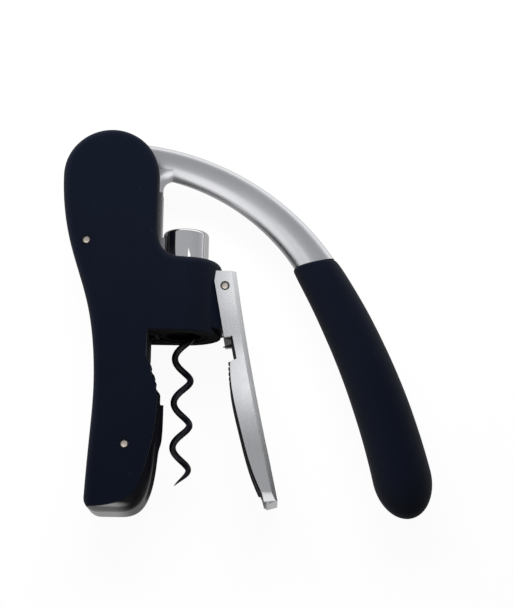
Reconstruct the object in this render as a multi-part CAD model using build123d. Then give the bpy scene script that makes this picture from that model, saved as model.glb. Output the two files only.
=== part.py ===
from build123d import *
import math
import os

# Lever corkscrew lying on its side. X points towards the lever, Y runs up the worm axis and
# Z goes across the body. The origin is the centre of the bottle seat under the collar.

# Body: head, collar and handle
BODY_HALF_WIDTH = 15.75
BODY_EDGE_R = 3.0
WALL = 2.4
HEAD_X = -32.0
HEAD_Y = 67.7
HEAD_R = 20.4
COLLAR_TOP = 32.5
COLLAR_ROUND = 3.5
SHOULDER_HEIGHT = 12.5
SHOULDER_REACH = 11.0
SLOT_BOTTOM = 34.5
WAIST_BACK = 36.5
HANDLE_LENGTH = 75.6
HANDLE_FRONT = 7.8
HEEL_BACK = 38.6
HEEL_ROUND = 5.5
TOE_SETBACK = 17.0
TOE_EDGE_R = 7.0

# Bottle neck, its ring, and the room around them
NECK_R = 14.3
RING_R = 15.2
RING_HEIGHT = 10.0
SCALLOP_DROP = 7.3
SCALLOP_START = 7.8

# Lever gear and rack
GEAR_MODULE = 1.25
GEAR_TEETH = 30
LEVER_SWING = 190.0
PRESSURE_ANGLE = 20.0
BACKLASH = 0.3
HUB_HALF_WIDTH = 4.8
TOOTH_HALF_WIDTH = 3.5
PIVOT_X = -32.3
PIVOT_Y = 65.0
AXLE_R = 4.0
BARREL_START = 34.0
RACK_WEB = 1.5
TONGUE_DEPTH = 1.4
TONGUE_THICK = 1.4

# Lever arm and grip
ARM_TOP = [(-21.0, 85.5), (25.0, 70.9), (63.8, 34.9)]
ARM_UNDER = [(-21.0, 71.8), (20.0, 57.5), (46.8, 31.0)]
ARM_WIDTHS = [(0.0, 4.8), (0.2, 4.8), (0.4, 4.9), (0.6, 5.2), (0.8, 5.7), (1.0, 6.4)]
ARM_SQUARENESS = 3.2
ARM_EDGE_R = 4.2
ROOT_FILLET_R = 4.2
ROOT_GAP = 0.4
ROOT_LAP = 0.3
TANG_LENGTH = 42.0
TANG_HALF_WIDTH = 5.0
TANG_HALF_DEPTH = 2.6
GRIP_SPINE = [(50.7, 39.8), (80.9, -20.0), (96.3, -75.3)]
GRIP_HALF_WIDTH = 12.3
GRIP_HALF_DEPTH = 10.6
GRIP_SWELL = [(0.0, 0.68), (0.05, 0.75), (0.3, 0.86), (0.6, 0.95), (0.86, 1.0)]

# Side plates, pins and axle
PLATE_GAP = 0.3
PLATE_THICK = 2.0
PLATE_INSET = 0.5
PIN_R = 1.6
UPPER_PIN_X = -41.4
UPPER_PIN_Y = 38.4
LOWER_PIN_X = -22.5
LOWER_PIN_Y = -48.2
RIVET_X = -27.0
RIVET_Y = 12.0
RIVET_R = 1.5
BOSS_R = 3.4
BUSH_WALL = 1.5
BUSH_FLANGE = 1.0

# Carriage, cap, spindle and worm
CAP_R = 9.8
CAP_WALL = 1.2
CAP_TOP = 46.0
CAP_HEIGHT = 30.5
CAP_ROUND = 1.6
BORE_CLEARANCE = 0.3
CARRIAGE_TOP = 43.0
CARRIAGE_HEIGHT = 13.0
BRIDGE_HALF_WIDTH = 4.0
SPINDLE_R = 3.0
SPINDLE_HEAD_R = 5.4
SPINDLE_HEAD_HEIGHT = 11.0
WASHER_THICK = 1.0
CLIP_THICK = 0.8
CLIP_DEPTH = 0.5
WORM_R = 3.4
WORM_WIRE_R = 1.4
WORM_PITCH = 19.0
WORM_TIP = -63.5
WORM_POINT_LENGTH = 9.0
WORM_PHASE_Y = 14.45
NUT_BOTTOM = 2.2
NUT_HEIGHT = 10.3
NUT_CLEARANCE = 0.4
NUT_RING_THICK = 1.8
NUT_RING_WALL = 2.6

# Clamp lever
CLAMP_HALF_WIDTH = 13.5
CLAMP_WALL = 2.5
CLAMP_PIN_X = 17.5
CLAMP_PIN_Y = 19.9
CLAMP_CLOSING = 13.0
CLAMP_TOP = 26.3
CLAMP_OUTER = [(22.1, 26.3), (25.9, 2.6), (32.4, -31.2), (40.9, -68.8)]
CLAMP_TIP = [(38.2, -71.5), (35.7, -69.6)]
CLAMP_TIP_R = 5.0
CLAMP_INNER = [(35.7, -69.6), (30.5, -58.5), (24.8, -39.2), (20.9, -21.5), (20.3, -12.5)]
CLAMP_NOTCH = [(20.3, -12.5), (23.0, -11.4), (21.0, -1.6), (17.5, -1.9)]
CLAMP_EAR = [(17.5, -1.9), (14.5, 14.0), (13.0, 22.0), (13.6, 26.3)]
CLAMP_BEVEL = 2.0
WEB_TOP = 11.0
PAD_PROUD = 0.8
PAD_TOP = -1.4
PAD_BOTTOM = -66.0
PAD_RIDGE_R = 0.7
PAD_RIDGES = 4
LUG_HALF_WIDTH = 10.5
LUG_WRAP = 2.9
LUG_BOTTOM = 2.5

# Fits
FIXED_FIT = 0.04
RUNNING_FIT = 0.06
SLIDE_FIT = 0.15

# Worked out from the sizes above
PITCH_R = GEAR_MODULE * GEAR_TEETH / 2
TIP_R = PITCH_R + GEAR_MODULE
ROOT_R = PITCH_R - 1.25 * GEAR_MODULE
TOOTH_STEP = 360 / GEAR_TEETH
RACK_STEP = math.pi * GEAR_MODULE
TEETH_USED = math.ceil(LEVER_SWING / TOOTH_STEP) + 2
RACK_PITCH_X = PIVOT_X + PITCH_R
RACK_ROOT_X = RACK_PITCH_X + 1.25 * GEAR_MODULE
RACK_FRONT_X = RACK_ROOT_X + RACK_WEB
TONGUE_BACK_X = RACK_PITCH_X - 0.85
RACK_TOP = PIVOT_Y - RACK_STEP / 2
RACK_BOTTOM = RACK_TOP - (TEETH_USED - 2) * RACK_STEP
PLATE_IN = HUB_HALF_WIDTH + PLATE_GAP
PLATE_OUT = PLATE_IN + PLATE_THICK
COLLAR_BORE_R = CAP_R + BORE_CLEARANCE
CAVITY_TOP = BODY_HALF_WIDTH - WALL
FAR = 200.0


def slab(face, low, high):
    """Extrude a face of the XY plane between two heights."""
    return extrude(Pos(0, 0, low) * face, amount=high - low, dir=(0, 0, 1))


def box_between(low, high):
    """Box between two corners."""
    size = [b - a for a, b in zip(low, high)]
    middle = [(a + b) / 2 for a, b in zip(low, high)]
    return Pos(*middle) * Box(*size)


def round_z(x, y, radius, low, high):
    """Cylinder along Z between two heights."""
    return Pos(x, y, (low + high) / 2) * Cylinder(radius, high - low)


def round_y(radius, low, high):
    """Cylinder on the worm axis between two places along Y."""
    return Pos(0, (low + high) / 2, 0) * Rot(90, 0, 0) * Cylinder(radius, high - low)


def turned(solid, x, y, degrees):
    """Turn a solid about an axis along Z through a point."""
    return Pos(x, y, 0) * Rot(0, 0, degrees) * Pos(-x, -y, 0) * solid


def mirrored(solid):
    """Copy of a solid on the other side of the middle plane."""
    return mirror(solid, about=Plane.XY)


def body_outline(inset):
    """Side outline of the body round the head and the handle, drawn in by an inset."""
    front = HEAD_X + HEAD_R - inset
    back = HEAD_X - HEAD_R + inset
    bottom = inset - HANDLE_LENGTH
    heel = inset - HEEL_BACK
    palm = -HANDLE_FRONT - inset
    top = COLLAR_TOP - inset
    head_top = (HEAD_X, HEAD_Y + HEAD_R - inset)
    shoulder_high = (front, COLLAR_TOP + SHOULDER_HEIGHT)
    shoulder_low = (front + SHOULDER_REACH, top)
    neck_back = (HEAD_X - 0.78 * HEAD_R + inset, COLLAR_TOP + 3.5)
    waist_high = (inset - WAIST_BACK - 3.4, 0.31 * COLLAR_TOP)
    waist = (inset - WAIST_BACK, -0.21 * HANDLE_LENGTH)
    heel_high = (heel, bottom + HEEL_ROUND)
    heel_mid = (heel + 0.25 * HEEL_ROUND, bottom + 0.3 * HEEL_ROUND)
    heel_low = (heel + HEEL_ROUND, bottom)
    toe_low = (palm - TOE_SETBACK, bottom)
    toe_mid = (palm - 0.42 * TOE_SETBACK, bottom + 4.6)
    palm_low = (palm - 0.1 * TOE_SETBACK, -0.62 * HANDLE_LENGTH)
    palm_high = (palm, -0.41 * HANDLE_LENGTH)
    edges = [
        Line((0, -inset), (0, top)),
        Line((0, top), shoulder_low),
        Spline([shoulder_low, shoulder_high], tangents=[(-1, 0), (0, 1)]),
        Line(shoulder_high, (front, HEAD_Y)),
        ThreePointArc((front, HEAD_Y), head_top, (back, HEAD_Y)),
        Spline([(back, HEAD_Y), neck_back, waist_high, waist, heel_high], tangents=[(0, -1), (-0.04, -1)]),
        ThreePointArc(heel_high, heel_mid, heel_low),
        Line(heel_low, toe_low),
        Spline([toe_low, toe_mid, palm_low, palm_high], tangents=[(1, 0), (0, 1)]),
        Line(palm_high, (palm, -inset)),
        Line((palm, -inset), (0, -inset)),
    ]
    return make_face(edges)


def toe_region():
    """Area at the bottom and front of the handle where the core shows outside the shells."""
    start = (-HANDLE_FRONT - 0.1 * TOE_SETBACK, -0.36 * HANDLE_LENGTH)
    high = (-HANDLE_FRONT - 0.17 * TOE_SETBACK, -0.57 * HANDLE_LENGTH)
    middle = (-HANDLE_FRONT - 0.365 * TOE_SETBACK, -0.76 * HANDLE_LENGTH)
    low = (-HANDLE_FRONT - 0.69 * TOE_SETBACK, 6.4 - HANDLE_LENGTH)
    flat = (-HANDLE_FRONT - 1.2 * TOE_SETBACK, 2.6 - HANDLE_LENGTH)
    end = (-HEEL_BACK - 1, 2.2 - HANDLE_LENGTH)
    edges = [
        Spline([start, high, middle, low, flat, end]),
        Line(end, (-HEEL_BACK - 1, -FAR)),
        Line((-HEEL_BACK - 1, -FAR), (FAR, -FAR)),
        Line((FAR, -FAR), (FAR, start[1])),
        Line((FAR, start[1]), start),
    ]
    return make_face(edges)


def scallop_region():
    """Stepped cut that leaves room for the bottle's ring at the top of the handle."""
    back = RING_R - 0.5
    step = (back - HANDLE_FRONT) / 3
    corners = [(-back + i * step, -SCALLOP_START - i * SCALLOP_DROP) for i in range(4)]
    edges = [Line((-back, 0), corners[0])]
    for (x0, y0), (x1, y1) in zip(corners, corners[1:]):
        edges.append(ThreePointArc((x0, y0), (x0 + 0.28 * step, y0 - 0.7 * SCALLOP_DROP), (x1, y1)))
    edges.append(Line(corners[-1], (0, corners[-1][1])))
    edges.append(Line((0, corners[-1][1]), (0, 0)))
    edges.append(Line((0, 0), (-back, 0)))
    return make_face(edges)


def half_blank(edge_r):
    """Full half of the body on the +Z side, with its outer edge rounded."""
    blank = slab(OUTLINE, 0, BODY_HALF_WIDTH)
    rim = blank.faces().sort_by(Axis.Z)[-1].edges()
    rounded = [e for e in rim if e.center().X < -HANDLE_FRONT - 0.5]
    return fillet(rounded, edge_r)


def half_collar():
    """Round collar on the +Z side, with the lug that carries the clamp lever."""
    collar = round_y(BODY_HALF_WIDTH, 0, COLLAR_TOP)
    collar = fillet(collar.edges().sort_by(Axis.Y)[-1], COLLAR_ROUND)
    wrap = CLAMP_PIN_X + LUG_WRAP
    lug = make_face([
        Line((0, LUG_BOTTOM), (BODY_HALF_WIDTH + 0.6, LUG_BOTTOM)),
        Line((BODY_HALF_WIDTH + 0.6, LUG_BOTTOM), (CLAMP_PIN_X - 1.6, WEB_TOP + 1)),
        Line((CLAMP_PIN_X - 1.6, WEB_TOP + 1), (wrap, CLAMP_PIN_Y - 1.2)),
        ThreePointArc((wrap, CLAMP_PIN_Y - 1.2), (CLAMP_PIN_X + 2.2, CLAMP_PIN_Y + 2.2),
                      (CLAMP_PIN_X - 0.6, CLAMP_PIN_Y + LUG_WRAP)),
        Line((CLAMP_PIN_X - 0.6, CLAMP_PIN_Y + LUG_WRAP), (0, CLAMP_PIN_Y + LUG_WRAP)),
        Line((0, CLAMP_PIN_Y + LUG_WRAP), (0, LUG_BOTTOM)),
    ])
    upper = box_between((-0.01, -1, 0), (FAR, FAR, FAR))
    return (collar & upper) + slab(lug, 0, LUG_HALF_WIDTH)


def rack_channel():
    """Room for the rack behind the collar's bore."""
    side = PLATE_IN + TONGUE_DEPTH + SLIDE_FIT
    low = (RACK_PITCH_X - GEAR_MODULE - 2 * SLIDE_FIT, -1, -side)
    high = (-0.9 * COLLAR_BORE_R, SLOT_BOTTOM + 1, side)
    return box_between(low, high)


def make_shell():
    """Right half of the body: one hollow moulding with half of the collar."""
    shell = half_blank(BODY_EDGE_R) + half_collar()
    front_keep = box_between((RACK_PITCH_X - 4.5, -2, -1), (FAR, SLOT_BOTTOM, FAR))
    cavity = slab(body_outline(WALL), 0, CAVITY_TOP)
    cavity = cavity - front_keep
    open_front = box_between((-HEEL_BACK + 8, -FAR, 0), (0, -2, CAVITY_TOP))
    shell = shell - cavity - open_front
    shell = shell - box_between((-FAR, SLOT_BOTTOM, -1), (RACK_FRONT_X + 2, FAR, PLATE_OUT))
    boss = round_z(UPPER_PIN_X, UPPER_PIN_Y, BOSS_R, PLATE_OUT + FIXED_FIT, BODY_HALF_WIDTH - 0.5)
    shell = shell + boss
    shell = shell - slab(TOE, -1, FAR) - slab(SCALLOPS, -1, FAR)
    shell = shell - round_y(NECK_R, -FAR, -RING_HEIGHT) - round_y(RING_R, -RING_HEIGHT, 0)
    shell = shell - round_y(COLLAR_BORE_R, -1, FAR) - rack_channel()
    for x, y in [(UPPER_PIN_X, UPPER_PIN_Y), (LOWER_PIN_X, LOWER_PIN_Y)]:
        shell = shell - round_z(x, y, PIN_R + FIXED_FIT, -1, FAR)
    return shell - round_z(CLAMP_PIN_X, CLAMP_PIN_Y, PIN_R + RUNNING_FIT, -1, FAR)


def make_core():
    """Core of the handle: bottle cradle, toe, and a tongue between the side plates."""
    inner = body_outline(WALL + FIXED_FIT)
    low_half = box_between((-FAR, -FAR, 0), (0, -2 - FIXED_FIT, CAVITY_TOP - FIXED_FIT))
    front = box_between((-HEEL_BACK + 8 + FIXED_FIT, -FAR, 0), (0, -2 - FIXED_FIT, CAVITY_TOP - FIXED_FIT))
    half = slab(inner, 0, CAVITY_TOP - FIXED_FIT) & low_half
    half = half + (slab(OUTLINE, 0, CAVITY_TOP - FIXED_FIT) & front)
    pocket = box_between((-HEEL_BACK + 5, 12 - HANDLE_LENGTH, -1), (-20, -12, CAVITY_TOP - 3))
    half = half - (pocket - round_z(LOWER_PIN_X, LOWER_PIN_Y, 2 * BOSS_R, -2, FAR))
    half = half - slab(SCALLOPS, -1, FAR)
    half = half - slab(TOE, -1, FAR)
    toe = half_blank(TOE_EDGE_R) & slab(TOE, -1, FAR)
    half = half + toe
    tongue = box_between((RIVET_X - 6, -6, 0), (RIVET_X + 6, RIVET_Y + 6, PLATE_IN - FIXED_FIT))
    half = half + tongue
    half = half - round_y(NECK_R, -FAR, -RING_HEIGHT) - round_y(RING_R, -RING_HEIGHT, 0)
    half = half - round_z(LOWER_PIN_X, LOWER_PIN_Y, PIN_R + FIXED_FIT, -1, FAR)
    half = half - round_z(RIVET_X, RIVET_Y, RIVET_R + FIXED_FIT, -1, FAR)
    return half + mirrored(half)


def make_plate():
    """Right side plate: carries the axle and guides the rack in a groove."""
    head = slab(body_outline(PLATE_INSET), PLATE_IN, PLATE_OUT)
    head = head & box_between((-FAR, SLOT_BOTTOM + FIXED_FIT, 0), (RACK_FRONT_X + 2, FAR, FAR))
    tail_front = RACK_PITCH_X - 4.5 - FIXED_FIT
    tail = make_face(Polyline(
        (UPPER_PIN_X - 2, SLOT_BOTTOM + 3), (tail_front, SLOT_BOTTOM + 3), (tail_front, RIVET_Y),
        (RIVET_X + 5, RIVET_Y - 6), (RIVET_X - 5, RIVET_Y - 6), close=True))
    plate = head + slab(tail, PLATE_IN, PLATE_OUT)
    groove = box_between((TONGUE_BACK_X - SLIDE_FIT, 0, PLATE_IN - 1),
                         (TONGUE_BACK_X + TONGUE_THICK + SLIDE_FIT, FAR, PLATE_IN + TONGUE_DEPTH))
    plate = plate - groove
    plate = plate - round_z(PIVOT_X, PIVOT_Y, AXLE_R + BUSH_WALL + FIXED_FIT, -1, FAR)
    plate = plate - round_z(UPPER_PIN_X, UPPER_PIN_Y, PIN_R + FIXED_FIT, -1, FAR)
    return plate - round_z(RIVET_X, RIVET_Y, RIVET_R + FIXED_FIT, -1, FAR)


def make_bush():
    """Right flanged bush that holds the lever axle in its side plate."""
    sleeve = round_z(PIVOT_X, PIVOT_Y, AXLE_R + BUSH_WALL, PLATE_IN, PLATE_OUT + BUSH_FLANGE)
    flange = round_z(PIVOT_X, PIVOT_Y, AXLE_R + 2 * BUSH_WALL, PLATE_OUT + FIXED_FIT, PLATE_OUT + BUSH_FLANGE)
    return sleeve + flange - round_z(PIVOT_X, PIVOT_Y, AXLE_R + FIXED_FIT, -1, FAR)


def involute_point(radius, side, half_angle):
    """Point of a tooth flank at a radius, for a tooth centred on the X axis."""
    base_r = PITCH_R * math.cos(math.radians(PRESSURE_ANGLE))
    at_pitch = math.tan(math.acos(base_r / PITCH_R)) - math.acos(base_r / PITCH_R)
    pressure = math.acos(min(1.0, base_r / radius))
    angle = side * (half_angle + at_pitch - (math.tan(pressure) - pressure))
    return (radius * math.cos(angle), radius * math.sin(angle))


def gear_tooth():
    """One tooth of the lever's gear, centred on the X axis of the pivot."""
    half_angle = math.pi / (2 * GEAR_TEETH) - BACKLASH / (4 * PITCH_R)
    radii = [max(ROOT_R, PITCH_R * math.cos(math.radians(PRESSURE_ANGLE))), PITCH_R, TIP_R]
    left = [involute_point(r, 1, half_angle) for r in radii]
    right = [involute_point(r, -1, half_angle) for r in radii]
    foot_left = (ROOT_R - 1, left[0][1])
    foot_right = (ROOT_R - 1, right[0][1])
    edges = [
        Line(foot_right, right[0]),
        ThreePointArc(*right),
        Line(right[2], left[2]),
        ThreePointArc(left[2], left[1], left[0]),
        Line(left[0], foot_left),
        Line(foot_left, foot_right),
    ]
    return slab(make_face(edges), -TOOTH_HALF_WIDTH, TOOTH_HALF_WIDTH)


def make_lever():
    """Lever arm in one casting with its toothed hub and the tang for the grip."""
    hub = Cylinder(ROOT_R, 2 * HUB_HALF_WIDTH)
    tooth = gear_tooth()
    for i in range(TEETH_USED):
        hub = hub + Rot(0, 0, TOOTH_STEP * (0.5 - i)) * tooth
    last_tooth = 360 - TOOTH_STEP * (TEETH_USED - 0.5)
    barrel = Cylinder(TIP_R, 2 * HUB_HALF_WIDTH)
    keep = make_face(Polyline((0, 0), *[
        (FAR * math.cos(math.radians(a)), FAR * math.sin(math.radians(a)))
        for a in (BARREL_START, 0.5 * (BARREL_START + last_tooth), last_tooth - 0.5 * TOOTH_STEP)], close=True))
    hub = hub + (barrel & slab(keep, -HUB_HALF_WIDTH, HUB_HALF_WIDTH))
    hub = Pos(PIVOT_X, PIVOT_Y, 0) * hub
    foot = slab(arm_foot(), -HUB_HALF_WIDTH, HUB_HALF_WIDTH)
    sides = [f for f in foot.faces() if abs(f.center().Z) > HUB_HALF_WIDTH - 0.01]
    rim = [e for f in sides for e in f.edges() if e.center().X > RACK_FRONT_X - 0.01]
    foot = fillet([e for e in rim if e.geom_type != GeomType.LINE or e.center().X < RACK_FRONT_X + 0.01], ARM_EDGE_R)
    root = slab(make_face(Polyline(ARM_UNDER[0], ARM_TOP[0], (PIVOT_X, PIVOT_Y + ROOT_R), (PIVOT_X, PIVOT_Y),
                                   close=True)), -HUB_HALF_WIDTH, HUB_HALF_WIDTH)
    lever = hub + root + foot + oval_arm() + grip_tang(0)
    return lever - round_z(PIVOT_X, PIVOT_Y, AXLE_R + RUNNING_FIT, -FAR, FAR)


def oval_arm():
    """Curved arm from inside the head to the grip, oval below in section and squarer on top."""
    top = ThreePointArc(*ARM_TOP)
    under = ThreePointArc(*ARM_UNDER)
    sections = []
    for place, half_width in ARM_WIDTHS:
        high = top @ place
        low = under @ place
        across = high - low
        plane = Plane(origin=0.5 * (high + low), x_dir=across, z_dir=(across.Y, -across.X, 0))
        points = []
        for i in range(24):
            angle = math.radians(15 * i)
            power = 2 / ARM_SQUARENESS if math.cos(angle) > 1e-6 else 1
            height = math.copysign(abs(math.cos(angle)) ** power, math.cos(angle))
            width = math.copysign(abs(math.sin(angle)) ** power, math.sin(angle))
            points.append((0.5 * across.length * height, half_width * width))
        sections.append(plane * make_face(Spline(*points, periodic=True)))
    return loft(sections)


def arm_foot():
    """Side outline of the arm's foot over the rack's top, with a hollow fillet up to the arm's underside."""
    low = RACK_TOP + ROOT_GAP
    back = RACK_PITCH_X - 0.3
    inside = PIVOT_X + ROOT_R - 1
    corner_x = RACK_FRONT_X + ROOT_FILLET_R
    under = ThreePointArc(*ARM_UNDER)
    share = (corner_x - ARM_UNDER[0][0]) / (ARM_UNDER[2][0] - ARM_UNDER[0][0])
    for _ in range(6):
        share = share - ((under @ share).X - corner_x) / (ARM_UNDER[2][0] - ARM_UNDER[0][0])
    corner_y = (under @ share).Y + ROOT_LAP
    start = (RACK_FRONT_X, corner_y - ROOT_FILLET_R)
    middle = (RACK_FRONT_X + 0.29 * ROOT_FILLET_R, corner_y - 0.29 * ROOT_FILLET_R)
    end = (corner_x, corner_y)
    return make_face([
        Line((back, low), (RACK_FRONT_X, low)),
        Line((RACK_FRONT_X, low), start),
        ThreePointArc(start, middle, end),
        Line(end, (end[0], end[1] + 4)),
        Line((end[0], end[1] + 4), (inside, end[1] + 4)),
        Line((inside, end[1] + 4), (inside, PIVOT_Y + 1)),
        Line((inside, PIVOT_Y + 1), (back, low)),
    ])


def grip_tang(clearance):
    """Straight tang at the end of the arm, or with a clearance the pocket for it."""
    middle = Vector(0.5 * (ARM_TOP[2][0] + ARM_UNDER[2][0]), 0.5 * (ARM_TOP[2][1] + ARM_UNDER[2][1]))
    along = Vector(GRIP_SPINE[1][0] - middle.X, GRIP_SPINE[1][1] - middle.Y)
    heading = math.degrees(math.atan2(along.Y, along.X))
    length = TANG_LENGTH + 4 + clearance
    bar = Box(length, 2 * (TANG_HALF_WIDTH + clearance), 2 * (TANG_HALF_DEPTH + clearance))
    return Pos(middle.X, middle.Y) * Rot(0, 0, heading) * Pos(length / 2 - 4, 0, 0) * bar


def make_grip():
    """Soft grip, oval in section, swelling towards its round end."""
    spine = ThreePointArc(*GRIP_SPINE)
    sections = []
    for place, share in GRIP_SWELL:
        tangent = spine % place
        plane = Plane(origin=spine @ place, x_dir=(tangent.Y, -tangent.X, 0), z_dir=tangent)
        sections.append(plane * Ellipse(share * GRIP_HALF_WIDTH, share * GRIP_HALF_DEPTH))
    end_length = (1 - GRIP_SWELL[-1][0]) * spine.length
    end = scale(Sphere(1), by=(GRIP_HALF_WIDTH, GRIP_HALF_DEPTH, end_length))
    end = end & Pos(0, 0, GRIP_HALF_WIDTH + end_length) * Box(FAR, FAR, 2 * (GRIP_HALF_WIDTH + end_length))
    grip = loft(sections) + plane * end
    across = Vector(ARM_TOP[2][0] - ARM_UNDER[2][0], ARM_TOP[2][1] - ARM_UNDER[2][1]).normalized() * FAR
    beside = Vector(-across.Y, across.X)
    arm_end = Vector(*ARM_UNDER[2])
    corners = [arm_end - across, arm_end + across, arm_end + across + beside, arm_end - across + beside]
    arm_side = make_face(Polyline(*corners, close=True))
    return grip - slab(arm_side, -FAR, FAR) - grip_tang(FIXED_FIT)


def rack_tooth(middle_y):
    """One straight-sided tooth of the rack, pointing at the gear."""
    slope = math.tan(math.radians(PRESSURE_ANGLE))
    half = RACK_STEP / 4 - BACKLASH / 4
    root_half = half + 1.25 * GEAR_MODULE * slope
    tip_half = half - GEAR_MODULE * slope
    return make_face(Polyline(
        (RACK_ROOT_X + 0.5, middle_y - root_half), (RACK_ROOT_X, middle_y - root_half),
        (RACK_PITCH_X - GEAR_MODULE, middle_y - tip_half), (RACK_PITCH_X - GEAR_MODULE, middle_y + tip_half),
        (RACK_ROOT_X, middle_y + root_half), (RACK_ROOT_X + 0.5, middle_y + root_half), close=True))


def make_carriage():
    """Rack with its guide tongues, and the boss that carries the spindle under the cap."""
    rack = box_between((RACK_ROOT_X, RACK_BOTTOM, -HUB_HALF_WIDTH), (RACK_FRONT_X, RACK_TOP, HUB_HALF_WIDTH))
    inner = TOOTH_HALF_WIDTH + SLIDE_FIT
    for i in range(1, TEETH_USED - 1):
        rack = rack + slab(rack_tooth(PIVOT_Y - i * RACK_STEP), -inner, inner)
    side = PLATE_IN + TONGUE_DEPTH - SLIDE_FIT
    cheek = box_between((TONGUE_BACK_X, RACK_BOTTOM, inner), (RACK_FRONT_X, RACK_TOP, HUB_HALF_WIDTH))
    tongue = box_between((TONGUE_BACK_X, RACK_BOTTOM, inner), (TONGUE_BACK_X + TONGUE_THICK, RACK_TOP, side))
    rail = cheek + tongue
    rack = rack + rail + mirrored(rail)
    low = CARRIAGE_TOP - CARRIAGE_HEIGHT
    bridge = box_between((RACK_ROOT_X, low, -BRIDGE_HALF_WIDTH), (0, CARRIAGE_TOP, BRIDGE_HALF_WIDTH))
    boss = round_y(CAP_R - CAP_WALL - SLIDE_FIT, low, CARRIAGE_TOP)
    bush_r = SPINDLE_R + RUNNING_FIT + BUSH_WALL
    return rack + bridge + boss - round_y(bush_r + FIXED_FIT, low - 1, CARRIAGE_TOP + 1)


def make_cap():
    """Bright cap over the carriage, open below and slotted behind for the bridge."""
    cap = round_y(CAP_R, CAP_TOP - CAP_HEIGHT, CAP_TOP)
    cap = fillet(cap.edges().sort_by(Axis.Y)[-1], CAP_ROUND)
    cap = cap - round_y(CAP_R - CAP_WALL, CAP_TOP - CAP_HEIGHT - 1, CAP_TOP - CAP_WALL)
    slot = BRIDGE_HALF_WIDTH + SLIDE_FIT
    return cap - box_between((-2 * CAP_R, -FAR, -slot), (0, CARRIAGE_TOP + SLIDE_FIT, slot))


def make_spindle_bush():
    """Flanged bush in the carriage for the worm's spindle."""
    low = CARRIAGE_TOP - CARRIAGE_HEIGHT
    outer = SPINDLE_R + RUNNING_FIT + BUSH_WALL
    bush = round_y(outer, low - BUSH_FLANGE, CARRIAGE_TOP)
    bush = bush + round_y(outer + BUSH_WALL, low - BUSH_FLANGE, low)
    return bush - round_y(SPINDLE_R + RUNNING_FIT, low - 2 * BUSH_FLANGE, CARRIAGE_TOP + 1)


def make_washer():
    """Thrust washer between the bush and the spindle's head."""
    top = CARRIAGE_TOP - CARRIAGE_HEIGHT - BUSH_FLANGE
    ring = round_y(SPINDLE_HEAD_R, top - WASHER_THICK, top)
    return ring - round_y(SPINDLE_R + RUNNING_FIT, top - 2 * WASHER_THICK, top + 1)


def spindle_head_top():
    """Place of the top of the spindle's head, just under the thrust washer."""
    return CARRIAGE_TOP - CARRIAGE_HEIGHT - BUSH_FLANGE - WASHER_THICK - RUNNING_FIT


def make_spindle():
    """Spindle that turns in the carriage and holds the worm."""
    top = spindle_head_top()
    head = round_y(SPINDLE_HEAD_R, top - SPINDLE_HEAD_HEIGHT, top)
    shaft_top = CARRIAGE_TOP + RUNNING_FIT + CLIP_THICK + 0.5
    shaft = round_y(SPINDLE_R, top, shaft_top)
    groove_low = CARRIAGE_TOP + RUNNING_FIT
    groove = round_y(SPINDLE_R + 1, groove_low, groove_low + CLIP_THICK + FIXED_FIT)
    groove = groove - round_y(SPINDLE_R - CLIP_DEPTH, groove_low - 1, groove_low + CLIP_THICK + 1)
    return head + shaft - groove


def make_clip():
    """Open spring clip in the spindle's groove, above the carriage."""
    low = CARRIAGE_TOP + RUNNING_FIT
    ring = round_y(SPINDLE_R + 1.8, low, low + CLIP_THICK)
    ring = ring - round_y(SPINDLE_R - CLIP_DEPTH + FIXED_FIT, low - 1, low + CLIP_THICK + 1)
    return ring - box_between((0, low - 1, -1.5), (2 * SPINDLE_R, low + CLIP_THICK + 1, 1.5))


def helix_wire(low, high):
    """Right-hand helix of the worm between two places along its axis."""
    turn = 360 * (low - WORM_PHASE_Y) / WORM_PITCH
    path = Helix(WORM_PITCH, high - low, WORM_R)
    return Pos(0, low, 0) * Rot(0, turn, 0) * Rot(-90, 0, 0) * Rot(0, 0, -90) * path


def helix_rod(low, high, radius):
    """Round wire that follows the worm's helix."""
    path = helix_wire(low, high)
    start = Plane(origin=path @ 0, z_dir=path % 0)
    return sweep(start * Circle(radius), path=path, is_frenet=True)


def make_worm():
    """Worm: a coated wire helix, cut flat under the spindle and drawn to a point."""
    top = spindle_head_top() - SPINDLE_HEAD_HEIGHT
    neck = WORM_TIP + WORM_POINT_LENGTH
    rod = helix_rod(neck, top + WORM_WIRE_R, WORM_WIRE_R)
    rod = rod & round_y(SPINDLE_HEAD_R, neck - 5, top)
    path = helix_wire(WORM_TIP, neck)
    sections = []
    for place, share in [(0.0, 0.12), (0.5, 0.68), (1.0, 1.0)]:
        plane = Plane(origin=path @ place, z_dir=path % place)
        sections.append(plane * Circle(share * WORM_WIRE_R))
    return rod + sweep(sections, path=path, multisection=True, is_frenet=True)


def make_nut():
    """Nut in the collar with a helical hole that spins the worm."""
    nut = round_y(COLLAR_BORE_R - FIXED_FIT, NUT_BOTTOM, NUT_BOTTOM + NUT_HEIGHT)
    return nut - helix_rod(NUT_BOTTOM - 6, NUT_BOTTOM + NUT_HEIGHT + 6, WORM_WIRE_R + NUT_CLEARANCE)


def make_nut_ring():
    """Ring that keeps the nut in the collar."""
    outer = COLLAR_BORE_R - FIXED_FIT
    top = NUT_BOTTOM - FIXED_FIT
    return round_y(outer, top - NUT_RING_THICK, top) - round_y(outer - NUT_RING_WALL, -1, FAR)


def clamp_profile():
    """Side outline of the clamp lever."""
    return make_face([
        Spline(CLAMP_OUTER),
        Line(CLAMP_OUTER[-1], CLAMP_TIP[0]),
        Line(CLAMP_TIP[0], CLAMP_TIP[1]),
        Spline(CLAMP_INNER),
        Polyline(*CLAMP_NOTCH),
        Polyline(*CLAMP_EAR),
        Line(CLAMP_EAR[-1], CLAMP_OUTER[0]),
    ])


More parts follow.
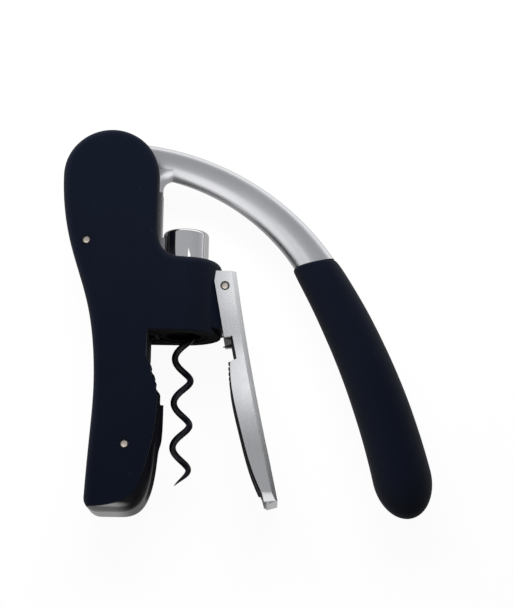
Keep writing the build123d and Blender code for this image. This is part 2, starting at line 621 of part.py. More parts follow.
def clamp_front():
    """Front outline of the clamp lever with its tip's corners rounded, as a deep block."""
    block = box_between((0, CLAMP_TIP[0][1], -CLAMP_HALF_WIDTH), (FAR, FAR, CLAMP_HALF_WIDTH))
    corners = [e for e in block.edges().filter_by(Axis.X) if e.center().Y < 0]
    return fillet(corners, CLAMP_TIP_R)


def in_clamp(solid):
    """Move a solid from the clamp's closed place on a bottle to its open rest place."""
    return turned(solid, CLAMP_PIN_X, CLAMP_PIN_Y, CLAMP_CLOSING)


def make_clamp():
    """Clamp lever: a channel with two ears that straddle the collar's lug."""
    profile = clamp_profile()
    clamp = slab(profile, -CLAMP_HALF_WIDTH, CLAMP_HALF_WIDTH)
    sides = [f for f in clamp.faces() if abs(f.center().Z) > CLAMP_HALF_WIDTH - 0.01]
    clamp = chamfer([f.edges().sort_by(SortBy.LENGTH)[-1] for f in sides], CLAMP_BEVEL)
    clamp = clamp & clamp_front()
    inside = CLAMP_HALF_WIDTH - CLAMP_WALL
    clamp = clamp - Pos(-CLAMP_WALL, 0, 0) * slab(profile, -inside, inside)
    clamp = clamp - box_between((0, WEB_TOP, -inside), (2 * BODY_HALF_WIDTH, 2 * CLAMP_TOP, inside))
    mouth = box_between((0, CLAMP_NOTCH[0][1], -inside), (CLAMP_NOTCH[2][0] - 0.2, WEB_TOP + 1, inside))
    clamp = clamp - mouth
    return clamp - round_z(CLAMP_PIN_X, CLAMP_PIN_Y, PIN_R + FIXED_FIT, -FAR, FAR)


def make_pad():
    """Soft lining of the clamp lever, hollowed for the bottle's neck and ring."""
    profile = clamp_profile()
    inside = CLAMP_HALF_WIDTH - CLAMP_WALL - FIXED_FIT
    pad = Pos(-CLAMP_WALL - FIXED_FIT, 0, 0) * slab(profile, -inside, inside)
    pad = pad & (Pos(-PAD_PROUD, 0, 0) * slab(profile, -inside, inside))
    pad = pad & box_between((-FAR, PAD_BOTTOM, -FAR), (FAR, PAD_TOP, FAR))
    pad = pad - in_clamp(round_y(NECK_R, -FAR, FAR)) - in_clamp(round_y(RING_R + 0.5, -RING_HEIGHT, 1))
    for i in range(PAD_RIDGES):
        x = CLAMP_INNER[-1][0] - PAD_PROUD
        y = CLAMP_INNER[-1][1] - 1.5 - i * 3.2 * PAD_RIDGE_R
        pad = pad - round_z(x, y, PAD_RIDGE_R, -FAR, FAR)
    return pad.solids().sort_by(SortBy.VOLUME)[-1]


def place_pieces():
    """All pieces of the corkscrew by name."""
    shell = make_shell()
    plate = make_plate()
    bush = make_bush()
    return {
        "right_shell": shell,
        "left_shell": mirrored(shell),
        "right_side_plate": plate,
        "left_side_plate": mirrored(plate),
        "handle_core": make_core(),
        "frame_rivet": round_z(RIVET_X, RIVET_Y, RIVET_R, -PLATE_OUT - 0.5, PLATE_OUT + 0.5),
        "lever_axle": round_z(PIVOT_X, PIVOT_Y, AXLE_R, -PLATE_OUT - BUSH_FLANGE, PLATE_OUT + BUSH_FLANGE),
        "axle_bushes": Compound(children=[bush, mirrored(bush)]),
        "upper_cross_pin": round_z(UPPER_PIN_X, UPPER_PIN_Y, PIN_R, -BODY_HALF_WIDTH, BODY_HALF_WIDTH),
        "lower_cross_pin": round_z(LOWER_PIN_X, LOWER_PIN_Y, PIN_R, -BODY_HALF_WIDTH, BODY_HALF_WIDTH),
        "plate_spacer": round_z(UPPER_PIN_X, UPPER_PIN_Y, BOSS_R, FIXED_FIT - PLATE_IN, PLATE_IN - FIXED_FIT)
        - round_z(UPPER_PIN_X, UPPER_PIN_Y, PIN_R + FIXED_FIT, -FAR, FAR),
        "lever_arm": make_lever(),
        "lever_grip": make_grip(),
        "carriage_rack": make_carriage(),
        "chrome_cap": make_cap(),
        "spindle_bush": make_spindle_bush(),
        "thrust_washer": make_washer(),
        "worm_spindle": make_spindle(),
        "spindle_clip": make_clip(),
        "worm": make_worm(),
        "worm_nut": make_nut(),
        "nut_ring": make_nut_ring(),
        "clamp_lever": make_clamp(),
        "clamp_pad": make_pad(),
        "clamp_pin": round_z(CLAMP_PIN_X, CLAMP_PIN_Y, PIN_R, -CLAMP_HALF_WIDTH, CLAMP_HALF_WIDTH),
    }


OUTLINE = body_outline(0)
TOE = toe_region()
SCALLOPS = scallop_region()

os.makedirs("parts", exist_ok=True)
for name, piece in place_pieces().items():
    export_step(piece, f"parts/{name}.step")
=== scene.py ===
"""Looks of the lever corkscrew: finishes, modelled pieces, studio and camera."""

import logging
import math
from dataclasses import dataclass
from enum import Enum
from typing import Optional, Sequence, Union

import bpy
from mathutils import Matrix, Vector


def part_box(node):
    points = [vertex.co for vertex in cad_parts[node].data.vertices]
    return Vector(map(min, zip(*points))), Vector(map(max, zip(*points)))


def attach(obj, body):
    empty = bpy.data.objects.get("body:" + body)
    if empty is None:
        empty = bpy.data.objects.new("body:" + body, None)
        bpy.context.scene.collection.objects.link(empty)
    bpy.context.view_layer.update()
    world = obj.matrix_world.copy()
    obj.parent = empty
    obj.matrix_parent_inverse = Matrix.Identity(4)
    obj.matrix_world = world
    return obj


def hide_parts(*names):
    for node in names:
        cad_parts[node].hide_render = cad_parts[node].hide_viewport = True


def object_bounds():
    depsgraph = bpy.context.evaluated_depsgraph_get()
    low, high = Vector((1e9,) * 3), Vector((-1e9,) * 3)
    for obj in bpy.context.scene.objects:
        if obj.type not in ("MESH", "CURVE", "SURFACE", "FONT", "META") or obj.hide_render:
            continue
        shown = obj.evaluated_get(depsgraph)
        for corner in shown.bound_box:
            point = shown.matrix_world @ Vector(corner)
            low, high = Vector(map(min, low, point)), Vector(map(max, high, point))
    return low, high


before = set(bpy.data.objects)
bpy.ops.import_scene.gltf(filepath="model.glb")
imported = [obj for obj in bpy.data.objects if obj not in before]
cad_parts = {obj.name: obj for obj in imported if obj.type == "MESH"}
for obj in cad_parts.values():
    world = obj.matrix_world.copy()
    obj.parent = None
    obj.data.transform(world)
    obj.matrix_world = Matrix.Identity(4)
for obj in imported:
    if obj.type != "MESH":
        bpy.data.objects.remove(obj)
CAD_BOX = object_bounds()

LOG = logging.getLogger("corkscrew")
MM = 0.001
# With no window, Blender's rotate operator turns the other way.
TURN_SIGN = -1.0

Colour = tuple[float, float, float]
Point = tuple[float, float, float]


class Body(Enum):
    """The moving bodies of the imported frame."""

    FRAME = "frame"
    LEVER = "lever"
    CARRIAGE = "carriage"
    WORM = "worm_assembly"
    CLAMP = "clamp"


class Grain(Enum):
    """How a metal's surface was worked."""

    BLASTED = "blasted"
    BRUSHED = "brushed"
    POLISHED = "polished"


class Axis(Enum):
    """An axis of the frame, as a unit vector."""

    X = (1.0, 0.0, 0.0)
    Y = (0.0, 1.0, 0.0)
    Z = (0.0, 0.0, 1.0)


# ---------------------------------------------------------------- shader maths


class Wire:
    """A shader socket that takes part in Python expressions."""

    def __init__(self, graph: "Graph", socket: Optional[bpy.types.NodeSocket]) -> None:
        """Keeps the graph and the output socket."""
        self.graph = graph
        self.socket = socket

    def _math(self, operation: str, first: "Value", second: "Value") -> "Wire":
        """Adds one Math node.

        Args:
            operation: The Math node's operation.
            first: The first operand.
            second: The second operand.

        Returns:
            The result's socket.
        """
        return self.graph.node("ShaderNodeMath", {"operation": operation}, {0: first, 1: second})

    def __add__(self, other: "Value") -> "Wire":
        """self + other."""
        return self._math("ADD", self, other)

    def __radd__(self, other: float) -> "Wire":
        """other + self."""
        return self._math("ADD", other, self)

    def __sub__(self, other: "Value") -> "Wire":
        """self - other."""
        return self._math("SUBTRACT", self, other)

    def __rsub__(self, other: float) -> "Wire":
        """other - self."""
        return self._math("SUBTRACT", other, self)

    def __mul__(self, other: "Value") -> "Wire":
        """self * other."""
        return self._math("MULTIPLY", self, other)

    def __rmul__(self, other: float) -> "Wire":
        """other * self."""
        return self._math("MULTIPLY", other, self)

    def span(self, low: float, high: float) -> "Wire":
        """A smooth 0 to 1 mask as the value goes from low to high.

        Args:
            low: The value that gives 0.
            high: The value that gives 1.

        Returns:
            The mask's socket.
        """
        settings = {"interpolation_type": "SMOOTHSTEP"}
        ends = {1: low, 2: high, 3: 0.0, 4: 1.0}
        return self.graph.node("ShaderNodeMapRange", settings, {0: self, **ends})


Value = Union[Wire, float, Sequence[float]]


class Graph:
    """A material's or world's node tree."""

    def __init__(self, tree: bpy.types.NodeTree) -> None:
        """Takes the tree and empties it."""
        self.tree = tree
        tree.nodes.clear()

    def node(self, kind: str, settings: Optional[dict] = None,
             inputs: Optional[dict[Union[str, int], Value]] = None, output: Union[str, int] = 0) -> Wire:
        """Adds a node.

        Args:
            kind: The node's type.
            settings: Attributes set before the sockets; "stops" gives a ramp's stops.
            inputs: Socket name or number to a value or a wire.
            output: The output socket that is returned.

        Returns:
            That output, as a wire.
        """
        made = self.tree.nodes.new(kind)
        for key, value in (settings or {}).items():
            if key == "stops":
                self._stops(made.color_ramp, value)
            else:
                setattr(made, key, value)
        for key, value in (inputs or {}).items():
            if isinstance(value, Wire):
                self.tree.links.new(value.socket, made.inputs[key])
            else:
                made.inputs[key].default_value = value
        return Wire(self, made.outputs[output] if made.outputs else None)

    @staticmethod
    def _stops(ramp: bpy.types.ColorRamp, stops: Sequence[tuple[float, Colour]]) -> None:
        """Sets a ramp's stops.

        Args:
            ramp: The ramp.
            stops: Places and colours in order.
        """
        while len(ramp.elements) < len(stops):
            ramp.elements.new(0.5)
        for element, (place, colour) in zip(ramp.elements, stops):
            element.position = place
            element.color = (*colour, 1.0)

    def place(self, scale: Point = (1.0, 1.0, 1.0), offset: Point = (0.0, 0.0, 0.0),
              turn: Point = (0.0, 0.0, 0.0)) -> Wire:
        """The surface point in the piece's own frame.

        Args:
            scale: Stretch along each axis.
            offset: Shift after the stretch, in metres.
            turn: Euler turn in degrees.

        Returns:
            The mapped point.
        """
        point = self.node("ShaderNodeTexCoord", output="Object")
        turned = tuple(math.radians(a) for a in turn)
        return self.node("ShaderNodeMapping", None,
                         {"Vector": point, "Location": offset, "Rotation": turned, "Scale": scale})

    def noise(self, scale: float, detail: float = 2.0, roughness: float = 0.5,
              point: Optional[Wire] = None) -> Wire:
        """A noise value from 0 to 1.

        Args:
            scale: Cells per metre.
            detail: Octaves.
            roughness: Share of the finer octaves.
            point: Where it is read; the object point if left out.

        Returns:
            The noise value.
        """
        return self.node("ShaderNodeTexNoise", None, {
            "Vector": point or self.place(), "Scale": scale, "Detail": detail, "Roughness": roughness})

    def blend(self, mask: Value, low: Union[Wire, Colour], high: Union[Wire, Colour]) -> Wire:
        """Mixes two colours.

        Args:
            mask: 0 for the first colour, 1 for the second.
            low: The first colour.
            high: The second colour.

        Returns:
            The mixed colour.
        """
        pair = [c if isinstance(c, Wire) else (*c, 1.0) for c in (low, high)]
        return self.node("ShaderNodeMix", {"data_type": "RGBA"}, {0: mask, 6: pair[0], 7: pair[1]}, output=2)

    def bump(self, height: Wire, distance: float) -> Wire:
        """A bumped normal.

        Args:
            height: The height from 0 to 1.
            distance: What a height of 1 is, in metres.

        Returns:
            The normal.
        """
        return self.node("ShaderNodeBump", None, {"Height": height, "Distance": distance, "Strength": 1.0})

    def axis_distance(self, centre: Point, along: Axis) -> Wire:
        """The distance of the surface point from a line.

        Args:
            centre: A point on the line.
            along: The line's direction.

        Returns:
            The distance in metres.
        """
        keep = tuple(1.0 - abs(a) for a in along.value)
        flat = self.place(keep, tuple(-c * k for c, k in zip(centre, keep)))
        return self.node("ShaderNodeVectorMath", {"operation": "LENGTH"}, {0: flat}, output="Value")

    def coordinate(self, along: Axis) -> Wire:
        """The surface point's coordinate along an axis, in metres."""
        return self.node("ShaderNodeVectorMath", {"operation": "DOT_PRODUCT"},
                         {0: self.place(), 1: along.value}, output="Value")

    def surface(self, **inputs: Value) -> None:
        """Ends the material in a Principled shader.

        Args:
            inputs: Socket names, with _ for a blank, and their values or wires.
        """
        named = {key.replace("_", " "): value for key, value in inputs.items()}
        shader = self.node("ShaderNodeBsdfPrincipled", None, named)
        self.node("ShaderNodeOutputMaterial", None, {"Surface": shader})


# ---------------------------------------------------------------- finishes

DUST = (0.05, 0.055, 0.07)
# Painted shade colour for undersides and pin-hole rims.
DEEP_SHADE = (0.0004, 0.0004, 0.0010)
# Painted shade colour for a metal's dark low end.
PAINTED_SHADE_STEEL = (0.0015, 0.0015, 0.0022)
# Painted shade colour for the ring round a pin.
PAINTED_RING_SHADE = (0.02, 0.02, 0.022)
RUBBED_COATING = (0.016, 0.016, 0.019)


@dataclass(frozen=True)
class Finish:
    """A finish: the record's slot it stands for and its main colour."""

    slot: str
    colour: Colour

    def shade(self, graph: Graph) -> None:
        """Draws the finish into a material's tree."""
        raise NotImplementedError

    @property
    def tag(self) -> str:
        """What the material's name adds to the slot's."""
        return "finish"

    def material(self) -> bpy.types.Material:
        """Makes the finish, once.

        Returns:
            The material.
        """
        name = f"{self.slot}_{self.tag}"
        found = bpy.data.materials.get(name)
        if found:
            return found
        made = bpy.data.materials.new(name)
        made.use_nodes = True
        self.shade(Graph(made.node_tree))
        return made


@dataclass(frozen=True)
class SoftTouch(Finish):
    """A soft-touch coat or moulded rubber: fine tooth, faint handling marks.

    shaded gives the height of an underside that is painted dark as shade, and where it starts along X;
    holes are the pin holes whose rims are painted dark as shade.
    """

    tint: Colour = (0.0022, 0.0038, 0.0096)
    tooth: float = 5200.0
    tooth_depth: float = 0.012 * MM
    roughness: float = 0.52
    specular: float = 0.04
    sheen: float = 0.042
    sheen_roughness: float = 0.58
    shaded: Optional[tuple[float, float]] = None
    holes: tuple[Point, ...] = ()
    hole_rim: tuple[float, float] = (1.9 * MM, 2.3 * MM)

    def shade(self, graph: Graph) -> None:
        """Draws tooth, cloudy handling marks, sparse dust, painted shade on the underside and painted shade
        on the hole rims.

        Args:
            graph: The material's tree.
        """
        cloud = graph.noise(42.0, 3.0, 0.6)
        tooth = graph.noise(self.tooth, 2.0, 0.65)
        specks = graph.noise(900.0, 1.0, 0.4).span(0.76, 0.80)
        colour = graph.blend(cloud.span(0.35, 0.75) * 0.55, self.colour, self.tint)
        dust_and_painted_shade = graph.blend(specks * 0.25, colour, DUST)
        rough = self.roughness + cloud * 0.10 + tooth * 0.05
        # Painted shade: the underside just below the given level is darkened and dulled as if in shadow.
        if self.shaded:
            level, inner = self.shaded
            height = graph.coordinate(Axis.Y)
            above = height.span(level + 0.1 * MM, level + 0.7 * MM)
            band = height.span(level - 1.2 * MM, level - 0.8 * MM) * (1.0 - above)
            under = band * graph.coordinate(Axis.X).span(inner, inner + 0.5 * MM)
            dust_and_painted_shade = graph.blend(under * 0.85, dust_and_painted_shade, DEEP_SHADE)
            rough = rough + under * 0.4
        # Painted shade: a dark ring round each pin hole stands for the shadow in its gap.
        for hole in self.holes:
            rim = 1.0 - graph.axis_distance(hole, Axis.Z).span(*self.hole_rim)
            dust_and_painted_shade = graph.blend(rim * 0.9, dust_and_painted_shade, DEEP_SHADE)
        graph.surface(Base_Color=dust_and_painted_shade, Roughness=rough, Specular_IOR_Level=self.specular,
                      Sheen_Weight=self.sheen, Sheen_Roughness=self.sheen_roughness,
                      Normal=graph.bump(tooth, self.tooth_depth))


@dataclass(frozen=True)
class MouldedPlastic(Finish):
    """A hard moulded plastic with a smooth skin, polished on its foot and dull far above it.

    foot gives the height of the foot's edge and where its glossy coat ends along X.
    """

    roughness: float = 0.2
    specular: float = 0.12
    foot: Optional[tuple[float, float]] = None
    polish_roughness: float = 0.2
    polish_ior: float = 2.6
    dull_above: tuple[float, float] = (22 * MM, 32 * MM)
    wave_depth: float = 0.02 * MM

    def shade(self, graph: Graph) -> None:
        """Draws flow clouds, hairline scuffs, a faint waviness and the polished foot.

        Args:
            graph: The material's tree.
        """
        flow = graph.noise(65.0, 3.0, 0.5)
        scuffs = graph.noise(1.0, 3.0, 0.6, graph.place((900.0, 120.0, 900.0))).span(0.58, 0.72)
        lifted = tuple(min(1.0, c * 1.9 + 0.0005) for c in self.colour)
        colour = graph.blend(flow.span(0.3, 0.8) * 0.5, self.colour, lifted)
        coat: Value = 0.0
        rough: Value = self.roughness + scuffs * 0.14 + flow * 0.05
        if self.foot:
            edge, toe = self.foot
            height = graph.coordinate(Axis.Y)
            rough = rough + height.span(*(edge + rise for rise in self.dull_above)) * 0.5
            under = 1.0 - height.span(edge - 0.6 * MM, edge + 0.6 * MM)
            behind = 1.0 - graph.coordinate(Axis.X).span(toe - 4 * MM, toe + 4 * MM)
            coat = under * behind * (0.95 + flow * 0.05)
        graph.surface(Base_Color=colour, Roughness=rough, Specular_IOR_Level=self.specular, Coat_Weight=coat,
                      Coat_Roughness=self.polish_roughness, Coat_IOR=self.polish_ior,
                      Normal=graph.bump(graph.noise(380.0, 2.0), self.wave_depth))


@dataclass(frozen=True)
class Metal(Finish):
    """A bare metal, worked as its grain says.

    brushing gives the cells per metre along and across a brushed grain, and lean its turn in degrees;
    below dark_below the metal is painted dark as shade; shade_ring_axis is the axis of a pin whose ring is
    painted dark as shade; tones are heights along Y and how bright the painted light and shade are there.
    """

    grain: Grain = Grain.BLASTED
    roughness: float = 0.3
    specular: float = 0.1
    along: Axis = Axis.Y
    brushing: tuple[float, float] = (25.0, 1900.0)
    lean: float = 0.0
    depth: float = 0.004 * MM
    dark_below: Optional[float] = None
    shade_ring_axis: Optional[Point] = None
    ring_rim: tuple[float, float] = (1.85 * MM, 2.1 * MM)
    painted_light_tones: tuple[tuple[float, float], ...] = ()

    @property
    def tag(self) -> str:
        """The grain names the material, so that one slot can hold two grains."""
        return f"{self.grain.value}_finish"

    def texture(self, graph: Graph) -> Wire:
        """The grain's height.

        Args:
            graph: The material's tree.

        Returns:
            A height from 0 to 1.
        """
        if self.grain is Grain.BRUSHED:
            lengthwise, across = self.brushing
            stretch = tuple(lengthwise if a else across for a in self.along.value)
            turned = graph.place(turn=(0.0, 0.0, self.lean))
            drawn = graph.node("ShaderNodeVectorMath", {"operation": "MULTIPLY"}, {0: turned, 1: stretch})
            return graph.noise(1.0, 4.0, 0.65, drawn)
        if self.grain is Grain.POLISHED:
            return graph.noise(240.0, 2.0, 0.5)
        return graph.noise(4800.0, 3.0, 0.7)

    def shade(self, graph: Graph) -> None:
        """Draws the grain, handling smears, painted shade at the low end, painted light and shade along the
        length and painted shade rings round pins.
        """
        grain = self.texture(graph)
        smear = graph.noise(55.0, 3.0, 0.6)
        duller = tuple(c * 0.88 for c in self.colour)
        colour = graph.blend(grain * 0.55 + smear * 0.35, duller, self.colour)
        spread = 0.04 if self.grain is Grain.POLISHED else 0.14
        rough = self.roughness + (grain - 0.5) * spread + smear.span(0.45, 0.8) * (spread * 0.5)
        bare: Value = 1.0
        # Painted shade: below dark_below the metal is made dark, non-metal and dull as if in shadow.
        if self.dark_below is not None:
            bare = graph.coordinate(Axis.Y).span(self.dark_below - MM, self.dark_below + MM)
            colour = graph.blend(bare, PAINTED_SHADE_STEEL, colour)
            rough = rough + (1.0 - bare) * 0.5
        # Painted light and shade: brightness varied along Y as the lamps fall on the part, darker at the tip.
        if self.painted_light_tones:
            low, high = self.painted_light_tones[0][0], self.painted_light_tones[-1][0]
            stops = tuple(((at - low) / (high - low), (tone, tone, tone)) for at, tone in self.painted_light_tones)
            place = graph.coordinate(Axis.Y).span(low, high)
            painted_light_ramp = graph.node("ShaderNodeValToRGB", {"stops": stops}, {0: place})
            colour = graph.blend(painted_light_ramp, tuple(c * 0.5 for c in self.colour), colour)
        # Painted shade: a dark ring round the pin stands for the shadow in the gap about it.
        if self.shade_ring_axis is not None:
            inside = 1.0 - graph.axis_distance(self.shade_ring_axis, Axis.Z).span(*self.ring_rim)
            colour = graph.blend(inside * 0.95, colour, PAINTED_RING_SHADE)
        graph.surface(Base_Color=colour, Metallic=bare, Roughness=rough, Specular_IOR_Level=self.specular,
                      Normal=graph.bump(grain, self.depth))


@dataclass(frozen=True)
class Coating(Finish):
    """A dark slippery coating on wire."""

    roughness: float = 0.32
    specular: float = 0.22
    peel_depth: float = 0.01 * MM

    def shade(self, graph: Graph) -> None:
        """Draws a fine orange peel and thin rubbed patches.

        Args:
            graph: The material's tree.
        """
        peel = graph.noise(2600.0, 2.0, 0.5)
        rubbed = graph.noise(160.0, 4.0, 0.65).span(0.60, 0.78)
        colour = graph.blend(rubbed * 0.4, self.colour, RUBBED_COATING)
        graph.surface(Base_Color=colour, Roughness=self.roughness + peel * 0.12 - rubbed * 0.06,
                      Specular_IOR_Level=self.specular, Normal=graph.bump(peel, self.peel_depth))


# The shell's underside and its pin-hole rims are painted dark as shade.
SOFT_SHELL = SoftTouch("soft_shell", (0.0015, 0.0028, 0.0077), shaded=(0.0, -14.6 * MM),
                       holes=((-41.4 * MM, 38.4 * MM, 0.0), (-22.5 * MM, -48.2 * MM, 0.0)))
GRIP_RUBBER = SoftTouch("grip_rubber", (0.0015, 0.0028, 0.0077), tooth=4300.0, roughness=0.56)
CORE_PLASTIC = MouldedPlastic("core_plastic", (0.0035, 0.0037, 0.006), roughness=0.24,
                              specular=0.08, foot=(-72.4 * MM, -22.5 * MM))
BUSH_PLASTIC = MouldedPlastic("bush_plastic", (0.0010, 0.0010, 0.0018), roughness=0.78, specular=0.02)
SATIN_METAL = Metal("satin_metal", (0.75, 0.755, 0.775), Grain.BLASTED, 0.36)
# The clamp's tones paint light and shade along its length, and a painted shade ring sits round its pin.
CLAMP_METAL = Metal("satin_metal", (0.90, 0.905, 0.92), Grain.BRUSHED, 0.27, lean=-9.0, depth=0.0012 * MM,
                    shade_ring_axis=(17.5 * MM, 19.9 * MM, 0.0),
                    painted_light_tones=((-68 * MM, 0.45), (-62 * MM, 0.45), (-57 * MM, 0.42), (-38 * MM, 0.8),
                           (-22 * MM, 1.0), (2 * MM, 0.85), (22 * MM, 1.0)))
# The rack's low end is painted dark as shade.
RACK_METAL = Metal("rack_metal", (0.42, 0.42, 0.44), Grain.BRUSHED, 0.26, dark_below=12 * MM)
PLATE_STEEL = Metal("plate_steel", (0.055, 0.056, 0.060), Grain.BRUSHED, 0.45)
PIN_STEEL = Metal("pin_steel", (0.78, 0.71, 0.63), Grain.BLASTED, 0.38, depth=0.003 * MM)
CAP_CHROME = Metal("cap_chrome", (0.90, 0.90, 0.905), Grain.POLISHED, 0.05, depth=0.0006 * MM)
WORM_COATING = Coating("worm_coating", (0.0035, 0.0038, 0.0065))
PAD_RUBBER = SoftTouch("pad_rubber", (0.010, 0.010, 0.012), tint=(0.020, 0.020, 0.023), tooth=3000.0,
                       roughness=0.6)


# ---------------------------------------------------------------- modelling


def dress(name: str, finish: Finish) -> None:
    """Gives a CAD node a finish.

    Args:
        name: The node.
        finish: Its finish.
    """
    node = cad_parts[name]
    node.data.materials.clear()
    node.data.materials.append(finish.material())
    LOG.info("dressed %s in %s", name, finish.slot)


class Bench:
    """Hand modelling of one mesh in edit mode."""

    def __init__(self, piece: bpy.types.Object, name: str, at: Vector) -> None:
        """Takes a fresh object and opens it for editing.

        Args:
            piece: The object.
            name: The piece's name.
            at: The working point, in metres.
        """
        self.piece = piece
        self.piece.name = name
        self.at = at.copy()
        bpy.ops.object.select_all(action="DESELECT")
        piece.select_set(True)
        bpy.context.view_layer.objects.active = piece
        bpy.ops.object.transform_apply(location=True, rotation=True, scale=True)
        bpy.ops.object.mode_set(mode="EDIT")
        bpy.ops.mesh.select_all(action="SELECT")

    @classmethod
    def from_point(cls, name: str, at: Vector) -> "Bench":
        """Starts from a plane that is merged to one point.

        Args:
            name: The piece's name.
            at: Where the point is.

        Returns:
            The bench.
        """
        bpy.ops.object.select_all(action="DESELECT")
        bpy.ops.mesh.primitive_plane_add(size=MM, location=at)
        bench = cls(bpy.context.object, name, at)
        bpy.ops.mesh.merge(type="CENTER")
        return bench

    @classmethod
    def from_ring(cls, name: str, at: Vector, facing: float, half_axes: tuple[float, float],
                  facets: int) -> "Bench":
        """Starts from a filled oval that stands across the part.

        Args:
            name: The piece's name.
            at: The oval's centre.
            facing: The turn of its long axis from X about Z, in radians.
            half_axes: Half its length in the XY plane and half its length along Z.
            facets: Points round.

        Returns:
            The bench.
        """
        bpy.ops.object.select_all(action="DESELECT")
        bpy.ops.mesh.primitive_circle_add(vertices=facets, radius=1.0, fill_type="NGON", location=at,
                                          rotation=(math.pi / 2, 0.0, facing))
        ring = bpy.context.object
        ring.scale = (*half_axes, 1.0)
        return cls(ring, name, at)

    @classmethod
    def from_node(cls, name: str, node: str) -> "Bench":
        """Starts from a copy of a CAD node's mesh, merged and with its flat faces whole.

        Args:
            name: The piece's name.
            node: The CAD node.

        Returns:
            The bench.
        """
        piece = bpy.data.objects.new(name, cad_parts[node].data.copy())
        bpy.context.scene.collection.objects.link(piece)
        bench = cls(piece, name, Vector())
        bpy.ops.mesh.remove_doubles(threshold=0.001 * MM)
        bpy.ops.mesh.dissolve_limited(angle_limit=math.radians(0.4))
        return bench

    def extrude_to(self, point: Vector) -> None:
        """Extrudes what is selected so that the working point comes to a place.

        Args:
            point: The place, in metres.
        """
        bpy.ops.mesh.extrude_region_move(TRANSFORM_OT_translate={"value": point - self.at})
        self.at = point.copy()

    def turn(self, angle: float) -> None:
        """Turns what is selected about Z through the working point.

        Args:
            angle: The turn in radians, anticlockwise from above.
        """
        bpy.ops.transform.rotate(value=TURN_SIGN * angle, orient_axis="Z", orient_type="GLOBAL",
                                 center_override=self.at)

    def resize(self, share: float) -> None:
        """Scales what is selected about the working point.

        Args:
            share: The new size over the old.
        """
        bpy.ops.transform.resize(value=(share, share, share), center_override=self.at)

    def pull(self, corner: Vector, by: Vector, reach: float, near: float = 0.4 * MM) -> None:
        """Drags the points over one corner of the outline, and less so those around them.

        Args:
            corner: The corner, in the XY plane.
            by: How far.
            reach: How far off the drag fades out, in metres.
            near: Points this close to the corner are dragged in full.
        """
        bpy.ops.mesh.select_all(action="DESELECT")
        bpy.ops.object.mode_set(mode="OBJECT")
        for point in self.piece.data.vertices:
            point.select = (point.co - corner).xy.length < near
        bpy.ops.object.mode_set(mode="EDIT")
        bpy.ops.transform.translate(value=by, use_proportional_edit=True,
                                    proportional_edit_falloff="LINEAR", proportional_size=reach)

    def round_edges(self, width: float, sharper_than: float = 38.0, segments: int = 3) -> None:
        """Rounds every sharp edge with a bevel.

        Args:
            width: The bevel's width, in metres.
            sharper_than: The least angle between two faces, in degrees.
            segments: Steps of the round.
        """
        bpy.ops.object.mode_set(mode="OBJECT")
        bevel = self.piece.modifiers.new("edge_round", "BEVEL")
        bevel.width = width
        bevel.segments = segments
        bevel.limit_method = "ANGLE"
        bevel.angle_limit = math.radians(sharper_than)
        bevel.use_clamp_overlap = True
        bpy.ops.object.modifier_apply(modifier=bevel.name)
        bpy.ops.object.mode_set(mode="EDIT")

    def lathe(self, centre: Vector, along: Axis, steps: int) -> None:
        """Spins the drawn line into a closed turned solid.

        Args:
            centre: A point on the axis.
            along: The axis.
            steps: Facets round.
        """
        bpy.ops.mesh.select_all(action="SELECT")
        bpy.ops.mesh.spin(steps=steps, angle=2 * math.pi, center=centre, axis=along.value)
        self.close()

    def close(self) -> None:
        """Merges doubles and turns every face outwards."""
        bpy.ops.mesh.select_all(action="SELECT")
        bpy.ops.mesh.remove_doubles(threshold=0.002 * MM)
        bpy.ops.mesh.select_all(action="SELECT")
        bpy.ops.mesh.normals_make_consistent(inside=False)

    def finish(self, finish: Finish, body: Body, node: str, smooth_angle: float = 40.0,
               even_faces: bool = False) -> bpy.types.Object:
        """Leaves edit mode and puts the piece in its CAD node's place.

        Args:
            finish: The piece's finish.
            body: The body it moves with.
            node: The CAD node it stands for.
            smooth_angle: Edges flatter than this are shaded smooth, in degrees.
            even_faces: Whether large flat faces keep their own shading beside rounded edges.

        Returns:
            The finished piece.
        """
        bpy.ops.object.mode_set(mode="OBJECT")
        bpy.ops.object.shade_smooth_by_angle(angle=math.radians(smooth_angle))
        bpy.ops.object.transform_apply(location=True, rotation=True, scale=True)
        if even_faces:
            weighted = self.piece.modifiers.new("even_faces", "WEIGHTED_NORMAL")
            weighted.keep_sharp = True
            bpy.ops.object.modifier_apply(modifier=weighted.name)
        self.piece.data.materials.clear()
        self.piece.data.materials.append(finish.material())
        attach(self.piece, body.value)
        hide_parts(node)
        LOG.info("built %s for %s", self.piece.name, node)
        return self.piece


@dataclass(frozen=True)
class TurnedPin:
    """A steel pin across the part, with domed ends that leave a dark ring in their holes.

    end_shape gives shares of the radius and of ring_depth, from the middle of an end outwards.
    """

    node: str
    body: Body
    flush: float = 0.03 * MM
    ring_depth: float = 0.55 * MM
    end_shape: tuple[tuple[float, float], ...] = (
        (0.0, 0.0), (0.30, 0.02), (0.52, 0.07), (0.68, 0.16),
        (0.80, 0.30), (0.90, 0.55), (0.95, 1.0), (1.0, 1.0))
    steps: int = 40

    def build(self) -> bpy.types.Object:
        """Turns the pin about its own axis.

        Returns:
            The pin.
        """
        low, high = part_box(self.node)
        middle = (low + high) / 2
        radius, half = (high.x - low.x) / 2, (high.z - low.z) / 2 - self.flush
        upper = [Vector((middle.x + radius * r, middle.y, middle.z + half - self.ring_depth * d))
                 for r, d in self.end_shape]
        lower = [Vector((q.x, q.y, 2 * middle.z - q.z)) for q in reversed(upper)]
        bench = Bench.from_point(f"{self.node}_turned", upper[0])
        for point in upper[1:] + lower:
            bench.extrude_to(point)
        bench.lathe(middle, Axis.Z, self.steps)
        return bench.finish(PIN_STEEL, self.body, self.node)


# ---------------------------------------------------------------- sub-assemblies


